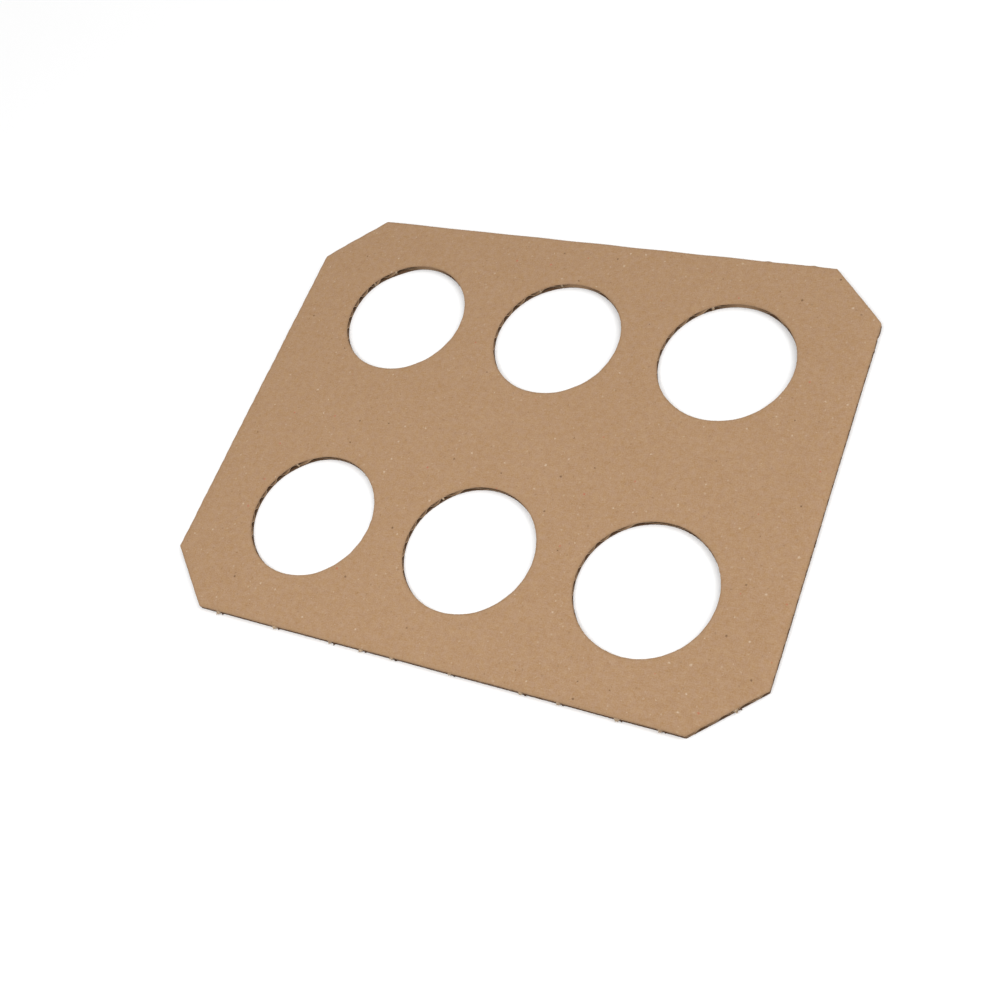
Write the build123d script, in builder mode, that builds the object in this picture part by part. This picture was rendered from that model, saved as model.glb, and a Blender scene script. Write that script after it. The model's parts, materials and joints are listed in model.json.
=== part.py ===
from build123d import *
from math import ceil, cos, radians, sin, tan
import os

os.makedirs("parts", exist_ok=True)

# A carrier sheet for six cups, die-cut from single-wall corrugated board.
# It lies flat. The origin is the middle of its underside, X runs along the flutes and Z is up.

# Die-cut outline
board_length = 278.0
board_width = 218.0
corner_cut = 25.0

# Cup holes, in rows along the length
cup_hole_diameter = 60.0
hole_spacing_length = 80.0
hole_spacing_width = 110.0
hole_columns = 3
hole_rows = 2

# Papers
liner_thickness = 0.25
medium_thickness = 0.2

# Flutes of the medium
flute_pitch = 6.4
flute_height = 2.4
flute_offset = 1.6
flank_angle = 52
hole_sides = 48

# How far the cutting rule reaches past the board
cut_overrun = 2.0

# Half a flute, along the middle of the paper: half a flat trough, a facet at half the flank's angle,
# the flank, another facet and half a flat crest. The flats are the glue lines, as wide as the facets.
rise = flute_height - medium_thickness
slope = radians(flank_angle)
facet = (flute_pitch / 2 - rise / tan(slope)) / (1 + 2 * cos(slope / 2) - 2 * sin(slope / 2) / tan(slope))
flank = (rise - 2 * facet * sin(slope / 2)) / sin(slope)


def flute_side(lift):
    """Points of one side of the paper from trough to crest, this far above the middle of the paper."""
    across = -flute_pitch / 2
    up = -rise / 2
    points = [(across, up + lift)]
    angle = 0
    for length, next_angle in ((facet / 2, slope / 2), (facet, slope), (flank, slope / 2), (facet, 0)):
        across += length * cos(angle)
        up += length * sin(angle)
        mitre = (angle + next_angle) / 2
        reach = lift / cos((next_angle - angle) / 2)
        points.append((across - reach * sin(mitre), up + reach * cos(mitre)))
        angle = next_angle
    points.append((0, rise / 2 + lift))
    return points


# Section of one whole flute, crest in the middle
with BuildSketch() as flute:
    with BuildLine() as outline:
        Polyline(*flute_side(medium_thickness / 2))
        Polyline(*flute_side(-medium_thickness / 2))
        mirror(about=Plane.YZ)
        corners = outline.vertices().group_by(Axis.X)
        Line(corners[0][0], corners[0][1])
        Line(corners[-1][0], corners[-1][1])
    make_face()

# Outline of the board, the same in all three papers
with BuildSketch() as octagon:
    Rectangle(board_length, board_width)
    chamfer(octagon.vertices(), corner_cut)

hole_places = GridLocations(hole_spacing_length, hole_spacing_width, hole_columns, hole_rows)

# A liner, with round holes
with BuildSketch() as liner_blank:
    add(octagon.sketch)
    with hole_places:
        Circle(cup_hole_diameter / 2, mode=Mode.SUBTRACT)

# The medium's holes are many-sided and touch the same circles, so that every flute ends in straight cuts
with BuildSketch() as medium_blank:
    add(octagon.sketch)
    with hole_places:
        RegularPolygon(cup_hole_diameter / 2, hole_sides, major_radius=False, mode=Mode.SUBTRACT)

with BuildPart() as lower_liner:
    add(liner_blank.sketch)
    extrude(amount=liner_thickness)

# The flutes run on past both long edges before the die trims them
flutes_across = 2 * ceil((board_width / 2 + flute_pitch) / flute_pitch)
medium_middle = liner_thickness + flute_height / 2

with BuildPart() as fluted_medium:
    with BuildSketch(Plane.YZ.offset(-board_length / 2 - cut_overrun)):
        with Locations((flute_offset, medium_middle)):
            with GridLocations(flute_pitch, flute_height, flutes_across, 1):
                add(flute.sketch)
    extrude(amount=board_length + 2 * cut_overrun)
    with BuildSketch(Plane.XY.offset(liner_thickness - cut_overrun)):
        add(medium_blank.sketch)
    extrude(amount=flute_height + 2 * cut_overrun, mode=Mode.INTERSECT)

with BuildPart() as upper_liner:
    with BuildSketch(Plane.XY.offset(liner_thickness + flute_height)):
        add(liner_blank.sketch)
    extrude(amount=liner_thickness)

lower_liner.part.label = "lower_liner"
export_step(lower_liner.part, "parts/lower_liner.step")

fluted_medium.part.label = "fluted_medium"
export_step(fluted_medium.part, "parts/fluted_medium.step")

upper_liner.part.label = "upper_liner"
export_step(upper_liner.part, "parts/upper_liner.step")
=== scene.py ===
"""Looks of a die-cut carrier sheet for six cups: kraft papers, cut flutes, torn nicks and loose fibres."""

import json
import math

import bpy
import numpy as np
from mathutils import Matrix, Vector
from mathutils.geometry import delaunay_2d_cdt


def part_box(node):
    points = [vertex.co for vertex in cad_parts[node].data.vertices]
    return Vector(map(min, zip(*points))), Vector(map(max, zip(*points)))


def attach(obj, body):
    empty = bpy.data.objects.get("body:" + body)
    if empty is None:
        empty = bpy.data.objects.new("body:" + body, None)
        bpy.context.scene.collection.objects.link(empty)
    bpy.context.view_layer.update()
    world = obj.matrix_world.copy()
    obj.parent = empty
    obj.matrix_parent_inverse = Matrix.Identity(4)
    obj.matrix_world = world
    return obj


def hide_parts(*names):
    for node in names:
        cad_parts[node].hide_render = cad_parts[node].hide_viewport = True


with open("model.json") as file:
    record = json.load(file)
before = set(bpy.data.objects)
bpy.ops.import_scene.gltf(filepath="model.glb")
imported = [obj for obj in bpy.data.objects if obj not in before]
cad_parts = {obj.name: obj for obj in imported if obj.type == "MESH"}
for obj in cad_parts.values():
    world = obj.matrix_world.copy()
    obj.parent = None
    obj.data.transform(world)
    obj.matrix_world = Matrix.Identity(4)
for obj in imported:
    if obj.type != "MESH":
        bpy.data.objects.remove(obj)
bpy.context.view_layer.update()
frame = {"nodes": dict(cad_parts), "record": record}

mm = 0.001

# The sheet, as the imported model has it
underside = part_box("lower_liner")[0].z
lower_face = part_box("lower_liner")[1].z
upper_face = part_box("upper_liner")[0].z
top_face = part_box("upper_liner")[1].z
half_length, half_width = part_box("upper_liner")[1].xy
liner_thickness = top_face - upper_face
holes = {
    mount["name"]: (mount["pos_m"][0], mount["pos_m"][1], mount["dims"]["r_mm"] * mm)
    for mount in frame["record"]["mounts"]
    if mount["kind"] == "bore"
}
back_edge = [v.co.x for v in frame["nodes"]["upper_liner"].data.vertices if v.co.y > half_width - mm]
corner_cut = half_length - max(back_edge)

# Flutes of the medium. A crest lies at crest_place, and the others a pitch apart.
flute_pitch = 6.4 * mm
crest_place = -1.6 * mm
medium_thickness = 0.2 * mm
flank_angle = math.radians(52)
crest_wander = 0.22 * mm

# Unevenness is a sum of waves, each this many times as long as the bumps are wide
ripple_waves = 6
ripple_shortest = 1.5
ripple_longest = 4

# Outline and holes, as the knives cut them
corner_radius = 0.8 * mm
worn_corner_radius = 1.5 * mm
worn_corner = 1
cut_roughness = 0.02 * mm
edge_swell = 0.02 * mm
cut_waver = 0.06 * mm
cut_waver_size = 12 * mm
hole_waver = 0.14 * mm
hole_waver_size = 25 * mm
medium_recess = 0.1 * mm
medium_recess_size = 3 * mm
recess_fade = 2 * mm

# Small bumps and steps of the outline: x, y, how far out, how wide
outline_bumps = (
    (half_length, 80.5 * mm, 0.25 * mm, 2.4 * mm),
    (half_length, 77.4 * mm, -0.25 * mm, 0.7 * mm),
    (half_length, 71 * mm, 0.25 * mm, 0.6 * mm),
    (83.5 * mm, half_width, 0.4 * mm, 1.3 * mm),
    (104 * mm, half_width, 0.4 * mm, 1.3 * mm),
)

# Where the lower liner reaches into a hole: angle in degrees, how far in, how wide an angle
liner_bulges = {
    "cup_hole_left_back": (122, 0.8 * mm, 16),
    "cup_hole_middle_back": (118, 0.4 * mm, 20),
    "cup_hole_left_front": (128, 0.4 * mm, 18),
    "cup_hole_middle_front": (140, 0.35 * mm, 14),
}

# How the knives crushed and bent the papers near the cuts
crush_depth = 0.3 * mm
crush_reach = 1.2 * mm
crush_size = 8 * mm
crush_unevenness = 0.4
end_press_depth = 0.5 * mm
end_press_reach = 2 * mm
hang_depth = 0.14 * mm
hang_reach = 2.2 * mm
overhang_drop = 0.3 * mm
overhang_length = 5 * mm
overhang_size = 30 * mm
overhang_unevenness = 0.3
lift_height = 0.05 * mm
lift_size = 15 * mm
washboard_depth = 0.025 * mm
rim_width = 0.35 * mm
rim_strength = 0.5

# Mesh spacing
cut_step = 0.7 * mm
ring_depths = (0.3 * mm, 0.8 * mm, 1.5 * mm, 2.4 * mm)
ring_slack = 0.8
finest_rings = 2
grid_step_along = 4 * mm
grid_step_across = 0.8 * mm
bend_points = 6
flute_bend_points = 9
flute_shares = (0, 0.13, 0.26, 0.38, 0.62, 0.74, 0.87)
nearest_rows = 0.08 * mm
row_end_steps = (0, 0.4 * mm, 1.0 * mm, 2.0 * mm)
row_end_clear = 3.0 * mm
row_digits = 6
point_digits = 8
tiny = 1e-7
sharp_angle = math.radians(30)

# Nicks, where the knife has a gap and the board was torn: along straight edges by x, at holes by angle
front_nicks = (-104.1, -73.7, -45.0, -29.4, -14.5, 13.1, 45.2, 61.7, 86.2, 103.8)
back_nicks = (83.5, 104.0)
corner_nick_x = 128.9 * mm
hole_nicks = {
    "cup_hole_left_back": (123.7, 146.2),
    "cup_hole_middle_back": (125.6, 105.7),
    "cup_hole_right_back": (117.6,),
    "cup_hole_left_front": (130.4, 56.0),
    "cup_hole_middle_front": (135.6,),
}
edge_nick_sizes = (0.7, 1.1)
hole_nick_sizes = (0.4, 0.65)

# A torn tab of size 1
nick_columns = 13
nick_rows = 9
nick_width = 2.2 * mm
nick_reach = 1.05 * mm
nick_root = 0.2 * mm
nick_lean = 0.5
nick_slant = 0.35
nick_side_power = 0.8
nick_end_power = 2.2
nick_ragged_columns = 0.3
nick_ragged_points = 0.25
nick_tip_shift = 0.15
nick_pinch = 0.4
nick_taper = 0.35
nick_row_waver = 0.06
nick_scatter = 0.05 * mm

# Shreds of the lower liner, beside the tabs, in the lower liner's cut colour, which is painted shade
shred_sizes = (0.45, 0.7)
shred_shift = 1.9 * mm
shred_height = 0.9 * mm

# Fibres. Their threads are three-sided: the taper is a thickness at shares of the length.
thread_sides = 3
thread_aside = (0.31, 0.17, 0.94)
taper_places = (0, 0.2, 0.7, 1)
taper_shares = (0.7, 1, 0.9, 0.3)

# Loose fibres on the cuts
cut_fibre_share = 0.6
cut_fibre_points = 5
cut_fibre_lengths = (0.3 * mm, 0.9 * mm)
cut_fibre_radii = (0.012 * mm, 0.022 * mm)
cut_fibre_root = 0.1 * mm
cut_fibre_scatter = 0.05 * mm
cut_fibre_outward = (0.2, 1)
cut_fibre_curl = 0.6
cut_fibre_rise = (-0.15 * mm, 0.1 * mm)
cut_fibre_floor = 0.05 * mm

# Fibres that lie on the face
face_fibre_count = 110
face_fibre_points = 7
face_fibre_lengths = (0.6 * mm, 2.4 * mm)
face_fibre_radii = (0.03 * mm, 0.055 * mm)
face_fibre_bend = 1.2
face_fibre_clear = 4 * mm

# Seeds of all that is random
crush_seed = 11
lift_seed = 12
overhang_seed = 13
flute_seed = 21
recess_seed = 31
cut_fibre_seed = 41
face_fibre_seed = 42
nick_seed = 51
shred_seed = 52
waver_seed = 100
upper_liner_seed = 100
lower_liner_seed = 200

# Camera: it looks down on the sheet and is rolled, as the photograph looks at the sheet's face
camera_place = (249.15 * mm, -241.62 * mm, 471.68 * mm)
camera_aim = (5.18 * mm, -29.82 * mm, top_face)
camera_roll = math.radians(-32.1)
camera_lens = 47.97
camera_nearest = 10 * mm

# Light and floor. Places and sizes are in metres.
sky_colour = (1, 1, 1, 1)
sky_strength = 0.78
sun_from = (0.8, 0.5, 1.0)
sun_strength = 0.945
sun_spread = math.radians(50)
front_lamp_place = (-0.03, -0.18, 0.35)
front_lamp_power = 0.4
side_lamp_place = (0.45, 0.0, 0.25)
side_lamp_power = 0.39
lamp_size = 0.2
floor_reach = 6.0

# Colours of the papers and the floor
pale_kraft = (0.44, 0.31, 0.205, 1)
dark_kraft = (0.26, 0.13, 0.035, 1)
worn_rim = (0.19, 0.12, 0.065, 1)
# Painted shade: the liners' inner faces are coloured darker than the kraft, for the shade inside the
# channels
upper_inner_kraft_painted_shade = (0.22, 0.125, 0.065, 1)
lower_inner_kraft_painted_shade = (0.14, 0.08, 0.043, 1)
upper_cut_kraft = (0.34, 0.2, 0.12, 1)
# Painted shade: the lower liner's cut edge is near black, to darken the bottom of the cut walls as if in
# shadow
lower_cut_kraft_painted_shade = (0.1, 0.052, 0.028, 1)
fluting_colour = (0.33, 0.205, 0.115, 1)
cut_fluting_colour = (0.38, 0.26, 0.165, 1)
torn_colour = (0.43, 0.32, 0.215, 1)
fibre_colour = (0.48, 0.37, 0.26, 1)
ochre_tint = (1.04, 1.0, 0.86, 1)
pink_tint = (0.985, 0.98, 1.14, 1)
pale_speck = (0.62, 0.5, 0.38, 1)
dark_speck = (0.1, 0.05, 0.02, 1)
red_speck = (0.42, 0.1, 0.06, 1)
floor_colour = (0.95, 0.95, 0.95, 1)

# Surfaces
gloss = 0.25
kraft_roughness = 0.85
inside_roughness = 0.9
cut_edge_roughness = 0.95
floor_roughness = 0.9
kraft_relief = 0.06 * mm
inside_relief = 0.04 * mm
cut_relief = 0.05 * mm
noise_roughness = 0.55
halfway = 0.5
even = (1, 1, 1)

# The kraft's clouds, mottle, grain and streaks along and across: size of a patch, detail, stretch,
# shift, weight in the colour, weight in the relief
kraft_layers = (
    (9 * mm, 2, even, 0, 0.1, 0),
    (2.4 * mm, 3, even, 3, 0.34, 0.6),
    (0.6 * mm, 3, even, 7, 0.62, 0.5),
    (0.5 * mm, 2, (5, 0.6, 1), 11, 0.4, 0.4),
    (0.5 * mm, 2, (0.6, 4, 1), 17, 0.32, 0),
)

# Patches of tint on the kraft: size of a patch, detail, stretch, shift
tint_layer = (3 * mm, 4, even, 23)

# Specks in the kraft: size of a cell that holds one, radius, share of the cells, strength, colour
kraft_specks = (
    (9 * mm, 0.55 * mm, 0.22, 0.6, pale_speck),
    (4.1 * mm, 0.5 * mm, 0.25, 0.28, pale_speck),
    (13 * mm, 0.55 * mm, 0.22, 0.85, dark_speck),
    (4.7 * mm, 0.5 * mm, 0.35, 0.28, dark_speck),
    (19 * mm, 0.6 * mm, 0.25, 0.7, red_speck),
)
speck_warp_size = 0.5 * mm
speck_warp_reach = 0.9 * mm

# Shade of the paper inside the board, and of a cut edge with its torn fibres and dark patches: size of
# a patch, detail, stretch, shift, weight. The first layer is also the relief.
inside_layers = ((0.35 * mm, 3, even, 9, 0.4), (1.8 * mm, 3, even, 0, 0.4))
cut_layers = ((0.12 * mm, 3, even, 0, 0.5), (1.6 * mm, 2, even, 5, 0.7))


def ripple(x, y, size, seed):
    """Smooth unevenness, mostly from -1 to 1, in bumps of about this size."""
    chance = np.random.default_rng(seed)
    total = 0
    for _ in range(ripple_waves):
        heading, phase = chance.uniform(0, 2 * math.pi, 2)
        length = size * chance.uniform(ripple_shortest, ripple_longest)
        along = x * math.cos(heading) + y * math.sin(heading)
        total = total + np.sin(along * 2 * math.pi / length + phase)
    return total / math.sqrt(2 * ripple_waves)


def cut_distance(x, y):
    """How far inside the nearest cut a point lies."""
    along, across = np.abs(x), np.abs(y)
    near = np.minimum(half_length - along, half_width - across)
    near = np.minimum(near, (half_length + half_width - corner_cut - along - across) / math.sqrt(2))
    for hole_x, hole_y, radius in holes.values():
        near = np.minimum(near, np.hypot(x - hole_x, y - hole_y) - radius)
    return np.maximum(near, 0)


def flute_roof(x, y):
    """Height of the flute crests, which are crushed near the cuts, most of all at the right end."""
    uneven = 1 - crush_unevenness + crush_unevenness * ripple(x, y, crush_size, crush_seed)
    crush = crush_depth * uneven * np.exp(-cut_distance(x, y) / crush_reach)
    pressed = end_press_depth * np.exp(-np.maximum(half_length - x, 0) / end_press_reach)
    return upper_face - np.maximum(crush, 0) - pressed


def flute_floor(x, y):
    """Height of the flute troughs on the lower liner, which curls up a little at the cuts."""
    uneven = 0.5 + 0.5 * ripple(x, y, lift_size, lift_seed)
    lift = lift_height * uneven * np.exp(-cut_distance(x, y) / crush_reach)
    return lower_face + np.maximum(lift, 0)


def between_crests(y):
    """0 at a flute's crest and 1 half way to the next."""
    return np.sin(math.pi * (y - crest_place) / flute_pitch) ** 2


def upper_liner_underside(x, y):
    """The liner rests on the crests, dips between them, hangs at the cuts and drops past the last crest."""
    hang = hang_depth * np.exp(-cut_distance(x, y) / hang_reach)
    dip = (washboard_depth + hang) * between_crests(y)
    last_crest_front = crest_place - flute_pitch * math.floor((half_width + crest_place) / flute_pitch)
    beyond = np.clip((last_crest_front - y) / overhang_length, 0, 1)
    uneven = 1 - overhang_unevenness + overhang_unevenness * ripple(x, y, overhang_size, overhang_seed)
    return flute_roof(x, y) - dip - overhang_drop * beyond**2 * uneven


def upper_liner_top(x, y):
    """The visible face."""
    return upper_liner_underside(x, y) + liner_thickness


def lower_liner_top(x, y):
    """The liner lies flat, and rises a hair between the troughs."""
    return flute_floor(x, y) - washboard_depth * (1 - between_crests(y)) / 2


def lower_liner_underside(x, y):
    """The face that lies on the floor."""
    return lower_liner_top(x, y) - liner_thickness + washboard_depth / 2


def corners_of_outline():
    """The cut rectangle's eight corners, anticlockwise, each with the radius of its bend."""
    a, b, c = half_length, half_width, corner_cut
    right_and_back = [(a, c - b), (a, b - c), (a - c, b), (c - a, b)]
    left_and_front = [(-a, b - c), (-a, c - b), (c - a, -b), (a - c, -b)]
    points = np.array(right_and_back + left_and_front)
    radii = [corner_radius] * len(points)
    radii[worn_corner] = worn_corner_radius
    return points, radii


def outward(loop):
    """Unit vectors that point from the paper out over each point of its cut."""
    along = np.roll(loop, -1, 0) - np.roll(loop, 1, 0)
    along /= np.linalg.norm(along, axis=1)[:, None]
    return np.stack([along[:, 1], -along[:, 0]], 1)


def outline_loop():
    """Points round the outline, anticlockwise, with the corners bent round and the small bumps."""
    corners, radii = corners_of_outline()
    count = len(corners)
    loop = []
    for i in range(count):
        corner, after = corners[i], corners[(i + 1) % count]
        before = corners[i - 1]
        into = (corner - before) / np.linalg.norm(corner - before)
        out = (after - corner) / np.linalg.norm(after - corner)
        bend_start, bend_end = corner - into * radii[i] / 2, corner + out * radii[i] / 2
        for t in np.linspace(0, 1, bend_points):
            loop.append((1 - t) ** 2 * bend_start + 2 * t * (1 - t) * corner + t**2 * bend_end)
        edge_end = after - out * radii[(i + 1) % count] / 2
        steps = math.ceil(np.linalg.norm(edge_end - bend_end) / cut_step)
        for step in range(1, steps):
            loop.append(bend_end + (edge_end - bend_end) * step / steps)
    loop = np.array(loop)
    bump = np.zeros(len(loop))
    for x, y, height, width in outline_bumps:
        bump += height * np.exp(-(np.hypot(loop[:, 0] - x, loop[:, 1] - y) / width) ** 2)
    return loop + outward(loop) * bump[:, None]


def hole_loop(name, bulge):
    """Points round a hole, clockwise. Bulge is the share of the liner's bulge into it."""
    x, y, radius = holes[name]
    count = round(2 * math.pi * radius / cut_step)
    angles = -np.arange(count) * 2 * math.pi / count
    round_x, round_y = np.cos(angles) * radius, np.sin(angles) * radius
    radii = radius + hole_waver * ripple(round_x, round_y, hole_waver_size, len(name))
    if name in liner_bulges:
        middle, depth, width = liner_bulges[name]
        away = (np.degrees(angles) - middle + 180) % 360 - 180
        radii -= bulge * depth * np.exp(-((away / width) ** 2))
    return np.stack([x + radii * np.cos(angles), y + radii * np.sin(angles)], 1)


def cut_loops(seed, bulge):
    """The outline and the holes of one paper. The knife's waver is the same in all, its roughness isn't."""
    chance = np.random.default_rng(seed)
    loops = []
    for i, loop in enumerate([outline_loop()] + [hole_loop(name, bulge) for name in holes]):
        waver = cut_waver * ripple(loop[:, 0], loop[:, 1], cut_waver_size, waver_seed + i)
        rough = chance.normal(0, cut_roughness, len(loop))
        loops.append(loop + outward(loop) * (waver + rough)[:, None])
    return loops


def inner_points(loops):
    """Rings of points that follow the cuts, and a grid between them."""
    found = []
    for number, depth in enumerate(ring_depths):
        for loop in loops:
            ring = loop - outward(loop) * depth
            if number >= finest_rings:
                ring = ring[::2]
            found.append(ring[cut_distance(ring[:, 0], ring[:, 1]) > depth * ring_slack])
    xs = np.arange(-half_length, half_length, grid_step_along)
    ys = np.arange(-half_width, half_width, grid_step_across)
    grid = np.stack(np.meshgrid(xs, ys), -1).reshape(-1, 2)
    clear = cut_distance(grid[:, 0], grid[:, 1]) > ring_depths[-1] + grid_step_across / 2
    return np.vstack(found + [grid[clear]])


def triangulate(loops, inner):
    """Triangles over the paper, none in a hole. Gives points, triangles and each loop's point numbers."""
    points = np.vstack(loops + [inner])
    starts = np.cumsum([0] + [len(loop) for loop in loops])
    edges = []
    for start, end in zip(starts[:-1], starts[1:]):
        edges += [(i, i + 1) for i in range(start, end - 1)] + [(end - 1, start)]
    inside_only, nearness = 1, 1e-5
    result = delaunay_2d_cdt([Vector(p) for p in points / mm], edges, [], inside_only, nearness)
    found, _, triangles, sources = result[:4]
    number = {source: i for i, group in enumerate(sources) for source in group}
    rims = [[number[i] for i in range(start, end)] for start, end in zip(starts[:-1], starts[1:])]
    hole_of = {i: hole for hole, rim in enumerate(rims[1:]) for i in rim}
    kept = []
    for triangle in triangles:
        touched = {hole_of.get(i, -1 - i) for i in triangle}
        if len(touched) > 1:
            kept.append(tuple(triangle))
    return np.array([tuple(p) for p in found]) * mm, kept, rims


def liner_mesh(seed, bulge, top_of, underside_of):
    """A liner with a slightly swollen cut edge: points, and the faces of its top, underside and edge."""
    loops = cut_loops(seed, bulge)
    flat, triangles, rims = triangulate(loops, inner_points(loops))
    x, y = flat[:, 0], flat[:, 1]
    count = len(flat)
    points = [np.column_stack([flat, top_of(x, y)]), np.column_stack([flat, underside_of(x, y)])]
    flipped = [(c + count, b + count, a + count) for a, b, c in triangles]
    middles = 2 * count
    chance = np.random.default_rng(seed)
    edge_faces = []
    for rim in rims:
        loop = flat[rim]
        swollen = loop + outward(loop) * chance.normal(edge_swell, edge_swell, len(loop))[:, None]
        heights = (top_of(loop[:, 0], loop[:, 1]) + underside_of(loop[:, 0], loop[:, 1])) / 2
        points.append(np.column_stack([swollen, heights]))
        size = len(rim)
        for i in range(size):
            j = (i + 1) % size
            top_i, top_j, low_i, low_j = rim[i], rim[j], rim[i] + count, rim[j] + count
            edge_faces.append((middles + i, middles + j, top_j, top_i))
            edge_faces.append((low_i, low_j, middles + j, middles + i))
        middles += size
    return np.vstack(points), triangles, flipped, edge_faces


def half_flute(lift):
    """One side of the medium from trough to crest, this far above the paper's middle: (across, up)."""
    half_pitch = flute_pitch / 2
    rise = upper_face - lower_face - medium_thickness
    bend = (half_pitch * math.tan(flank_angle) - rise) / (2 / math.cos(flank_angle) - 2)
    slope = np.linspace(0, flank_angle, flute_bend_points)
    across, up = bend * np.sin(slope), bend * (1 - np.cos(slope))
    across = np.concatenate([across, (half_pitch - across)[::-1]])
    up = np.concatenate([up, (rise - up)[::-1]])
    slope = np.concatenate([slope, slope[::-1]])
    return across - lift * np.sin(slope), up + lift * np.cos(slope) + medium_thickness / 2


def flute_turns():
    """Places across the sheet of every trough and crest in turn, a little uneven."""
    chance = np.random.default_rng(flute_seed)
    first = -math.ceil(half_width / flute_pitch) - 1
    turns = crest_place + np.arange(2 * first - 1, -2 * first + 2) * flute_pitch / 2
    return turns + chance.uniform(-crest_wander, crest_wander, len(turns))


def wave_height(turns, lift, levels):
    """Height of one side of the medium above the lower liner at each level across the sheet."""
    across, up = half_flute(lift)
    share = across / (flute_pitch / 2)
    ys, zs = [], []
    for i, (start, end) in enumerate(zip(turns[:-1], turns[1:])):
        rising = i % 2 == 0
        ys.append(start + (end - start) * (share if rising else 1 - share[::-1]))
        zs.append(up if rising else up[::-1])
    return np.interp(levels, np.concatenate(ys), np.concatenate(zs))


def medium_levels(turns):
    """Where the medium's rows of points lie across the sheet."""
    flutes = [a + (b - a) * share for a, b in zip(turns[:-1], turns[1:]) for share in flute_shares]
    fixed = {-half_width, half_width}
    for _, y, radius in holes.values():
        fixed |= {round(y - radius, row_digits), round(y + radius, row_digits)}
    clear = [y for y in flutes if abs(y) < half_width and min(abs(y - f) for f in fixed) > nearest_rows]
    return np.array(sorted(clear + list(fixed)))


def crossed_holes(y):
    """Names of the holes that a line across the sheet at y runs through."""
    return [name for name, (_, hole_y, radius) in holes.items() if abs(y - hole_y) < radius]


def row_spans(y, names):
    """Stretches of paper along the sheet at y, as (start, end), between the outline and these holes."""
    reach = half_length - max(abs(y) - (half_width - corner_cut), 0)
    ends = [(-reach, 1, 1), (reach, -1, 1)]
    for name in names:
        hole_x, hole_y, radius = holes[name]
        chord = math.sqrt(max(radius**2 - (y - hole_y) ** 2, 0))
        fade = min(chord / recess_fade, 1)
        ends += [(hole_x - chord, -1, fade), (hole_x + chord, 1, fade)]
    places = []
    for x, inward, fade in sorted(ends):
        uneven = 0.5 + 0.5 * float(ripple(x, y, medium_recess_size, recess_seed))
        places.append(x + inward * fade * medium_recess * uneven)
    return list(zip(places[::2], places[1::2]))


def row_points(spans):
    """Places along the sheet of one row's points, closer together near the cuts."""
    grid = np.arange(-half_length, half_length, 2 * grid_step_along)
    places = set()
    for start, end in spans:
        for step in row_end_steps:
            if step < (end - start) / 2:
                places |= {round(start + step, point_digits), round(end - step, point_digits)}
        inner = grid[(grid > start + row_end_clear) & (grid < end - row_end_clear)]
        places |= {round(float(x), point_digits) for x in inner}
    return np.array(sorted(places))


def span_points(row, first, span):
    """The points of a row that lie in a span: (places, numbers), where first is the row's first number."""
    start, end = span
    chosen = np.nonzero((row > start - tiny) & (row < end + tiny))[0]
    return row[chosen], [int(i) for i in first + chosen]


def zip_rows(xs, numbers, next_xs, next_numbers):
    """Triangles between two neighbouring rows of points, facing up."""
    faces = []
    i = j = 0
    while i < len(xs) - 1 or j < len(next_xs) - 1:
        first_row = j == len(next_xs) - 1 or (i < len(xs) - 1 and xs[i + 1] <= next_xs[j + 1])
        if first_row:
            faces.append((numbers[i], numbers[i + 1], next_numbers[j]))
            i += 1
        else:
            faces.append((numbers[i], next_numbers[j + 1], next_numbers[j]))
            j += 1
    return faces


def medium_points(turns, levels, rows):
    """Points of the medium's upper side, then of its lower side."""
    sizes = [len(row) for row in rows]
    x = np.concatenate(rows)
    y = np.repeat(levels, sizes)
    low, high = flute_floor(x, y), flute_roof(x, y)
    points = []
    for lift in (medium_thickness / 2, -medium_thickness / 2):
        height = np.repeat(wave_height(turns, lift, levels), sizes)
        points.append(np.column_stack([x, y, low + (high - low) * height / (upper_face - lower_face)]))
    return np.vstack(points)


def medium_faces(levels, slabs, rows):
    """Faces of the medium: (those of its two sides, those of its cuts)."""
    starts = np.cumsum([0] + [len(row) for row in rows])
    count = starts[-1]
    sides, cuts = [], []
    for k, names in enumerate(slabs):
        for near_span, far_span in zip(row_spans(levels[k], names), row_spans(levels[k + 1], names)):
            near_xs, near = span_points(rows[k], starts[k], near_span)
            far_xs, far = span_points(rows[k + 1], starts[k + 1], far_span)
            strip = zip_rows(near_xs, near, far_xs, far)
            sides += strip + [(c + count, b + count, a + count) for a, b, c in strip]
            cuts.append((far[0] + count, near[0] + count, near[0], far[0]))
            cuts.append((near[-1] + count, far[-1] + count, far[-1], near[-1]))
    cuts += [(i + count, i + 1 + count, i + 1, i) for i in range(starts[1] - 1)]
    cuts += [(i, i + 1, i + 1 + count, i + count) for i in range(starts[-2], starts[-1] - 1)]
    return sides, cuts


def medium_mesh():
    """The fluted medium, in rows across the sheet: points, and the faces of its sides and its cuts."""
    turns = flute_turns()
    levels = medium_levels(turns)
    slabs = [crossed_holes((a + b) / 2) for a, b in zip(levels[:-1], levels[1:])]
    rows = []
    for k, y in enumerate(levels):
        near = slabs[max(k - 1, 0)] + slabs[min(k, len(slabs) - 1)]
        rows.append(row_points(row_spans(y, sorted(set(near)))))
    sides, cuts = medium_faces(levels, slabs, rows)
    return medium_points(turns, levels, rows), sides, cuts


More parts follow.
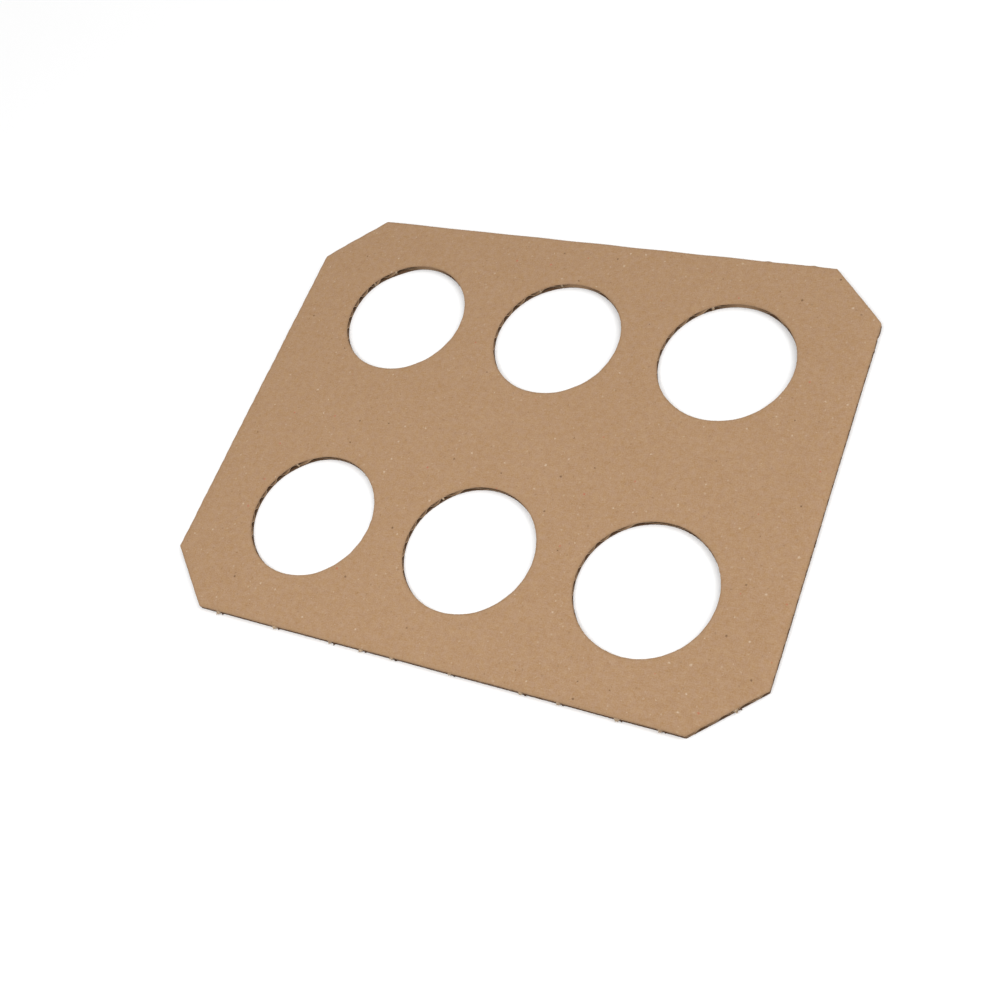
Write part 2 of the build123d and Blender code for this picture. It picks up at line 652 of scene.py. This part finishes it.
def add_piece(name, slot, points, *groups):
    """A mesh piece that rides on the sheet, from its points and groups of (faces, material)."""
    mesh = bpy.data.meshes.new(name)
    faces = [tuple(int(i) for i in face) for group, _ in groups for face in group]
    mesh.from_pydata(points.tolist(), [], faces)
    for _, material in groups:
        mesh.materials.append(material)
    kinds = np.repeat(np.arange(len(groups)), [len(group) for group, _ in groups])
    mesh.polygons.foreach_set("material_index", kinds.astype(np.int32))
    mesh.polygons.foreach_set("use_smooth", np.ones(len(mesh.polygons), bool))
    mesh.set_sharp_from_angle(angle=sharp_angle)
    piece = bpy.data.objects.new(name, mesh)
    bpy.context.scene.collection.objects.link(piece)
    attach(piece, "root")
    return piece


def mark_cuts(piece):
    """Stores how near each point lies to a cut, from 0 to 1, for the worn rim of the kraft."""
    points = np.zeros(len(piece.data.vertices) * 3)
    piece.data.vertices.foreach_get("co", points)
    points = points.reshape(-1, 3)
    near = np.exp(-cut_distance(points[:, 0], points[:, 1]) / rim_width)
    piece.data.attributes.new("near_cut", "FLOAT", "POINT").data.foreach_set("value", near)


def edge_nick_frames():
    """Each nick on the outline as (place, outward): both are flat vectors."""
    diagonal = 1 / math.sqrt(2)
    frames = [((x * mm, -half_width), (0, -1)) for x in front_nicks]
    frames += [((x * mm, half_width), (0, 1)) for x in back_nicks]
    corner_y = corner_nick_x - half_length - half_width + corner_cut
    frames.append(((corner_nick_x, corner_y), (diagonal, -diagonal)))
    return frames


def hole_nick_frames():
    """Each nick in the holes as (place, outward)."""
    frames = []
    for name, angles in hole_nicks.items():
        x, y, radius = holes[name]
        for angle in angles:
            ray = (math.cos(math.radians(angle)), math.sin(math.radians(angle)))
            frames.append(((x + ray[0] * radius, y + ray[1] * radius), (-ray[0], -ray[1])))
    return frames


def nick_mesh(place, outward_dir, size, high, chance):
    """A torn tab, from the underside up to high: the papers pinched together, ragged at the tip."""
    shape = (nick_columns, nick_rows)
    u = np.linspace(-1, 1, nick_columns)[:, None]
    v = np.linspace(0, 1, nick_rows)[None, :]
    from_middle = np.abs(2 * v - 1)
    lean = chance.uniform(-nick_lean, nick_lean)
    slant = chance.uniform(-nick_slant, nick_slant)
    body = (1 - u**2) ** nick_side_power * (1 - from_middle**nick_end_power) * (1 + lean * u)
    ragged = chance.normal(1, nick_ragged_columns, (nick_columns, 1))
    ragged = ragged + chance.normal(0, nick_ragged_points, shape)
    reach = nick_reach * size * body * ragged - nick_root
    middle = (high + underside) / 2 + chance.uniform(-nick_tip_shift, nick_tip_shift) * (high - underside)
    height = high + (underside - high) * v
    height = height + (middle - height) * nick_pinch * np.clip(reach / (nick_reach * size), 0, 1)
    narrow = 1 - nick_taper * from_middle + chance.normal(0, nick_row_waver, (1, nick_rows))
    across = (u * narrow + slant * (2 * v - 1)) * nick_width * size / 2
    across = across + chance.normal(0, nick_scatter, shape)
    out = np.array([*outward_dir, 0])
    side = np.array([-outward_dir[1], outward_dir[0], 0])
    grid = np.array([*place, 0]) + out * reach[..., None] + side * across[..., None]
    grid[..., 2] = height
    numbers = np.arange(nick_columns * nick_rows).reshape(shape)
    faces = [
        (numbers[i, j], numbers[i, j + 1], numbers[i + 1, j + 1], numbers[i + 1, j])
        for i in range(nick_columns - 1)
        for j in range(nick_rows - 1)
    ]
    return grid.reshape(-1, 3), faces


def thread_mesh(path, radius):
    """A three-sided thread along a path, thinner at its ends."""
    along = np.gradient(path, axis=0)
    along /= np.linalg.norm(along, axis=1)[:, None]
    side = np.cross(along, thread_aside)
    side /= np.linalg.norm(side, axis=1)[:, None]
    up = np.cross(side, along)
    taper = np.interp(np.linspace(0, 1, len(path)), taper_places, taper_shares)[:, None] * radius
    angles = [2 * math.pi * i / thread_sides for i in range(thread_sides)]
    rings = [path + (side * math.cos(a) + up * math.sin(a)) * taper for a in angles]
    points = np.stack(rings, 1).reshape(-1, 3)
    faces = [(0, 2, 1), (len(points) - 3, len(points) - 2, len(points) - 1)]
    for start in range(0, len(points) - thread_sides, thread_sides):
        for j in range(thread_sides):
            k = (j + 1) % thread_sides
            after = start + thread_sides
            faces.append((start + j, start + k, after + k, after + j))
    return points, faces


def joined(meshes):
    """Several (points, faces) as one."""
    points, faces, start = [], [], 0
    for some_points, some_faces in meshes:
        points.append(some_points)
        faces += [tuple(i + start for i in face) for face in some_faces]
        start += len(some_points)
    return np.vstack(points), faces


def torn_nicks():
    """All the torn tabs. Those in the holes are smaller."""
    chance = np.random.default_rng(nick_seed)
    tabs = []
    for frames, sizes in ((edge_nick_frames(), edge_nick_sizes), (hole_nick_frames(), hole_nick_sizes)):
        for place, direction in frames:
            size = chance.uniform(*sizes)
            tabs.append(nick_mesh(place, direction, size, float(upper_liner_top(*place)), chance))
    return joined(tabs)


def liner_shreds():
    """Beside each tab on the outline, a low shred of the lower liner, coloured with painted shade."""
    chance = np.random.default_rng(shred_seed)
    shreds = []
    for (x, y), (out_x, out_y) in edge_nick_frames():
        place = (x - out_y * shred_shift, y + out_x * shred_shift)
        size = chance.uniform(*shred_sizes)
        shreds.append(nick_mesh(place, (out_x, out_y), size, underside + shred_height, chance))
    return joined(shreds)


def cut_fibre(place, facing, chance):
    """A fibre that starts at a face of one of the liners and curls out of the cut."""
    out = np.array([*facing, 0])
    side = np.array([-facing[1], facing[0], 0])
    papers = (lower_liner_underside, lower_liner_top, upper_liner_underside, upper_liner_top)
    height = papers[chance.integers(0, len(papers))](*place)
    height = height + chance.uniform(-cut_fibre_scatter, cut_fibre_scatter)
    start = np.array([*place, height]) - out * cut_fibre_root
    heading = out * chance.uniform(*cut_fibre_outward) + side * chance.uniform(-1, 1)
    curl = np.cross(heading, (0, 0, 1)) * chance.uniform(-cut_fibre_curl, cut_fibre_curl)
    length = chance.uniform(*cut_fibre_lengths)
    steps = np.linspace(0, 1, cut_fibre_points)[:, None]
    path = start + length * (heading * steps + curl * steps**2)
    risen = path[:, 2] + chance.uniform(*cut_fibre_rise) * steps[:, 0]
    path[:, 2] = np.clip(risen, cut_fibre_floor, top_face)
    return thread_mesh(path, chance.uniform(*cut_fibre_radii))


def cut_fibres():
    """Loose fibres on the cut edges of both liners."""
    chance = np.random.default_rng(cut_fibre_seed)
    meshes = []
    for loop in [outline_loop()] + [hole_loop(name, 0) for name in holes]:
        facing = outward(loop)
        for pick in chance.integers(0, len(loop), round(len(loop) * cut_fibre_share)):
            meshes.append(cut_fibre(loop[pick], facing[pick], chance))
    return joined(meshes)


def face_fibres():
    """Short pale fibres that lie on the visible face."""
    chance = np.random.default_rng(face_fibre_seed)
    meshes = []
    while len(meshes) < face_fibre_count:
        x = chance.uniform(-half_length, half_length)
        y = chance.uniform(-half_width, half_width)
        if cut_distance(x, y) < face_fibre_clear:
            continue
        heading, bend = chance.uniform(0, math.pi), chance.normal(0, face_fibre_bend)
        turns = heading + bend * np.linspace(0, 1, face_fibre_points)
        step = chance.uniform(*face_fibre_lengths) / (face_fibre_points - 1)
        flat = np.array([x, y]) + np.cumsum(np.stack([np.cos(turns), np.sin(turns)], 1) * step, 0)
        rest = upper_liner_top(flat[:, 0], flat[:, 1])
        meshes.append(thread_mesh(np.column_stack([flat, rest]), chance.uniform(*face_fibre_radii)))
    return joined(meshes)


def add_node(tree, kind, inputs, **settings):
    """A shader node with its settings, and its inputs as values or links."""
    node = tree.nodes.new(kind)
    for name, value in settings.items():
        setattr(node, name, value)
    for name, value in inputs.items():
        if isinstance(value, bpy.types.NodeSocket):
            tree.links.new(value, node.inputs[name])
        else:
            node.inputs[name].default_value = value
    return node


def noise(tree, place, size, detail, stretch, shift):
    """Noise from 0 to 1 in patches of about this size."""
    scaled = add_node(tree, "ShaderNodeMapping", {"Vector": place, "Location": (shift, shift, shift)})
    scaled.inputs["Scale"].default_value = [1 / (size * s) for s in stretch]
    inputs = {"Vector": scaled.outputs["Vector"], "Scale": 1, "Detail": detail}
    inputs["Roughness"] = noise_roughness
    return add_node(tree, "ShaderNodeTexNoise", inputs).outputs["Fac"]


def weighted(tree, parts, middle):
    """The sum of (noise, weight) parts, each swinging about its middle."""
    total = middle - sum(weight for _, weight in parts) / 2
    for socket, weight in parts:
        inputs = {0: socket, 1: weight, 2: total}
        total = add_node(tree, "ShaderNodeMath", inputs, operation="MULTIPLY_ADD").outputs["Value"]
    return total


def mixed(tree, share, first, second, blend="MIX"):
    """Two colours mixed by a share."""
    inputs = {"Fac": share, "Color1": first, "Color2": second}
    return add_node(tree, "ShaderNodeMixRGB", inputs, blend_type=blend).outputs["Color"]


def warped(tree, place):
    """The place shifted about in small patches, which makes round specks irregular."""
    inputs = {"Vector": place, "Scale": 1 / speck_warp_size, "Detail": 1}
    shifts = add_node(tree, "ShaderNodeTexNoise", inputs).outputs["Color"]
    inputs = {0: shifts, 1: (speck_warp_reach,) * 3, 2: place}
    return add_node(tree, "ShaderNodeVectorMath", inputs, operation="MULTIPLY_ADD").outputs["Vector"]


def specks(tree, place, cell, radius, share, strength):
    """Soft specks of uneven size: one in each cell at most, in this share of the cells."""
    inputs = {"Vector": place, "Scale": 1 / cell, "Randomness": 1}
    cells = add_node(tree, "ShaderNodeTexVoronoi", inputs, voronoi_dimensions="2D")
    chances = add_node(tree, "ShaderNodeSeparateColor", {"Color": cells.outputs["Color"]})
    reach = {0: chances.outputs["Green"], 1: radius / cell, 2: radius / cell / 2}
    reach = add_node(tree, "ShaderNodeMath", reach, operation="MULTIPLY_ADD").outputs["Value"]
    edges = {"Value": cells.outputs["Distance"], "From Min": 0, "From Max": reach}
    edges |= {"To Min": strength, "To Max": 0}
    spot = add_node(tree, "ShaderNodeMapRange", edges, interpolation_type="SMOOTHSTEP").outputs["Result"]
    chosen = {0: chances.outputs["Red"], 1: share}
    chosen = add_node(tree, "ShaderNodeMath", chosen, operation="LESS_THAN").outputs["Value"]
    return add_node(tree, "ShaderNodeMath", {0: spot, 1: chosen}, operation="MULTIPLY").outputs["Value"]


def new_material(name, roughness):
    """A material with its own tree: (material, tree, shader, place in the sheet's frame)."""
    material = bpy.data.materials.new(name)
    material.use_nodes = True
    tree = material.node_tree
    shader = tree.nodes["Principled BSDF"]
    shader.inputs["Roughness"].default_value = roughness
    shader.inputs["Specular IOR Level"].default_value = gloss
    place = add_node(tree, "ShaderNodeTexCoord", {}).outputs["Object"]
    return material, tree, shader, place


def add_bump(tree, shader, height, depth):
    """Relief this deep on a shader."""
    bump = add_node(tree, "ShaderNodeBump", {"Height": height, "Distance": depth, "Strength": 1})
    tree.links.new(bump.outputs["Normal"], shader.inputs["Normal"])


def kraft_material(name):
    """Recycled kraft: soft mottle of pale and dark pulp, fibre streaks both ways, specks and a worn rim."""
    material, tree, shader, place = new_material(name, kraft_roughness)
    colour_parts, relief_parts = [], []
    for *layer, colour_weight, relief_weight in kraft_layers:
        pattern = noise(tree, place, *layer)
        colour_parts.append((pattern, colour_weight))
        if relief_weight:
            relief_parts.append((pattern, relief_weight))
    surface = mixed(tree, weighted(tree, colour_parts, halfway), dark_kraft, pale_kraft)
    tint = mixed(tree, noise(tree, place, *tint_layer), ochre_tint, pink_tint)
    surface = mixed(tree, 1, surface, tint, "MULTIPLY")
    ragged = warped(tree, place)
    for *kind, colour in kraft_specks:
        surface = mixed(tree, specks(tree, ragged, *kind), surface, colour)
    rim = add_node(tree, "ShaderNodeAttribute", {}, attribute_name="near_cut").outputs["Fac"]
    rim = add_node(tree, "ShaderNodeMath", {0: rim, 1: rim_strength}, operation="MULTIPLY").outputs["Value"]
    surface = mixed(tree, rim, surface, worn_rim)
    tree.links.new(surface, shader.inputs["Base Color"])
    add_bump(tree, shader, weighted(tree, relief_parts, halfway), kraft_relief)
    return material


def shaded_material(name, colour, layers, roughness, relief):
    """Plain paper whose colour is shaded by layers of noise, and whose relief is the first of them."""
    material, tree, shader, place = new_material(name, roughness)
    parts = [(noise(tree, place, *layer), weight) for *layer, weight in layers]
    surface = mixed(tree, 1, colour, weighted(tree, parts, 1), "MULTIPLY")
    tree.links.new(surface, shader.inputs["Base Color"])
    add_bump(tree, shader, parts[0][0], relief)
    return material


def cut_material(name, colour):
    """A paper's cut or torn edge, with the fibres torn open and dark patches."""
    return shaded_material(name, colour, cut_layers, cut_edge_roughness, cut_relief)


def inside_material(name, colour):
    """Paper inside the board, rougher than the faces. The liners' inner faces get dark colours that are
    painted shade of the channels; the fluting keeps its own tone.
    """
    return shaded_material(name, colour, inside_layers, inside_roughness, inside_relief)


def add_liners(kraft, lower_edge_painted_shade):
    """The two liners, with kraft on the sheet's faces."""
    # The upper liner's underside gets a darker colour that is painted shade of the channels
    upper_inner = inside_material("inner_upper_liner_painted_shade", upper_inner_kraft_painted_shade)
    upper_edge = cut_material("cut_upper_liner", upper_cut_kraft)
    paper = liner_mesh(upper_liner_seed, 0, upper_liner_top, upper_liner_underside)
    points, tops, undersides, edges = paper
    groups = (tops, kraft), (undersides, upper_inner), (edges, upper_edge)
    upper = add_piece("upper_liner_paper", "upper_liner", points, *groups)
    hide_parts("upper_liner")
    mark_cuts(upper)

    # The lower liner's top, seen inside the channels, gets a darker colour that is painted shade
    lower_inner = inside_material("inner_lower_liner_painted_shade", lower_inner_kraft_painted_shade)
    paper = liner_mesh(lower_liner_seed, 1, lower_liner_top, lower_liner_underside)
    points, tops, undersides, edges = paper
    groups = (tops, lower_inner), (undersides, kraft), (edges, lower_edge_painted_shade)
    lower = add_piece("lower_liner_paper", "lower_liner", points, *groups)
    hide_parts("lower_liner")
    mark_cuts(lower)


def add_medium():
    """The fluted medium between the liners."""
    fluting = inside_material("fluting", fluting_colour)
    fluting_edge = cut_material("cut_fluting", cut_fluting_colour)
    points, sides, cuts = medium_mesh()
    groups = (sides, fluting), (cuts, fluting_edge)
    medium = add_piece("fluted_medium_paper", "fluted_medium", points, *groups)
    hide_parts("fluted_medium")


def add_torn_parts(lower_edge_painted_shade):
    """The torn nicks, the shreds beside them in painted shade, and the loose fibres."""
    torn = cut_material("torn_paper", torn_colour)
    fibres = cut_material("loose_fibres", fibre_colour)
    for name, slot, make, material in (
        ("torn_nicks", "upper_liner", torn_nicks, torn),
        ("torn_liner_shreds", "lower_liner", liner_shreds, lower_edge_painted_shade),
        ("cut_edge_fibres", "upper_liner", cut_fibres, fibres),
        ("face_fibres", "upper_liner", face_fibres, fibres),
    ):
        points, faces = make()
        add_piece(name, slot, points, (faces, material))


def add_floor():
    """A plain pale floor, far wider than the view."""
    mesh = bpy.data.meshes.new("floor")
    corners = [(x * floor_reach, y * floor_reach, 0) for x, y in ((-1, -1), (1, -1), (1, 1), (-1, 1))]
    mesh.from_pydata(corners, [], [(0, 1, 2, 3)])
    material, _, shader, _ = new_material("floor_paint", floor_roughness)
    shader.inputs["Base Color"].default_value = floor_colour
    mesh.materials.append(material)
    floor = bpy.data.objects.new("floor", mesh)
    bpy.context.scene.collection.objects.link(floor)


def add_light(name, kind, place, strength, **settings):
    """A light at this place that faces the sheet and isn't seen itself."""
    light = bpy.data.lights.new(name, kind)
    light.energy = strength
    for setting, value in settings.items():
        setattr(light, setting, value)
    lamp = bpy.data.objects.new(name, light)
    lamp.location = place
    lamp.rotation_mode = "QUATERNION"
    lamp.rotation_quaternion = (-Vector(place)).to_track_quat("-Z", "Y")
    lamp.visible_camera = False
    bpy.context.scene.collection.objects.link(lamp)


def add_sky():
    """Pale light from all round."""
    world = bpy.data.worlds.new("studio")
    world.use_nodes = True
    background = world.node_tree.nodes["Background"]
    background.inputs["Color"].default_value = sky_colour
    background.inputs["Strength"].default_value = sky_strength
    bpy.context.scene.world = world


def add_camera():
    """The photograph's view of the sheet's face."""
    camera = bpy.data.objects.new("camera", bpy.data.cameras.new("camera"))
    camera.data.lens = camera_lens
    camera.data.clip_start = camera_nearest
    look = Vector(camera_aim) - Vector(camera_place)
    turn = look.to_track_quat("-Z", "Y").to_matrix().to_4x4() @ Matrix.Rotation(camera_roll, 4, "Z")
    camera.matrix_world = Matrix.Translation(camera_place) @ turn
    bpy.context.scene.collection.objects.link(camera)
    bpy.context.scene.camera = camera


# The lower liner's cut colour is painted shade: a near-black bottom to the cut walls, used for the shreds
# too
lower_liner_edge_painted_shade = cut_material("cut_lower_liner_painted_shade", lower_cut_kraft_painted_shade)
add_liners(kraft_material("kraft_liner"), lower_liner_edge_painted_shade)
add_medium()
add_torn_parts(lower_liner_edge_painted_shade)
add_floor()
add_sky()
add_light("sun", "SUN", sun_from, sun_strength, angle=sun_spread)
add_light("front_lamp", "AREA", front_lamp_place, front_lamp_power, size=lamp_size)
add_light("side_lamp", "AREA", side_lamp_place, side_lamp_power, size=lamp_size)
add_camera()
bpy.context.scene.view_settings.view_transform = "Standard"
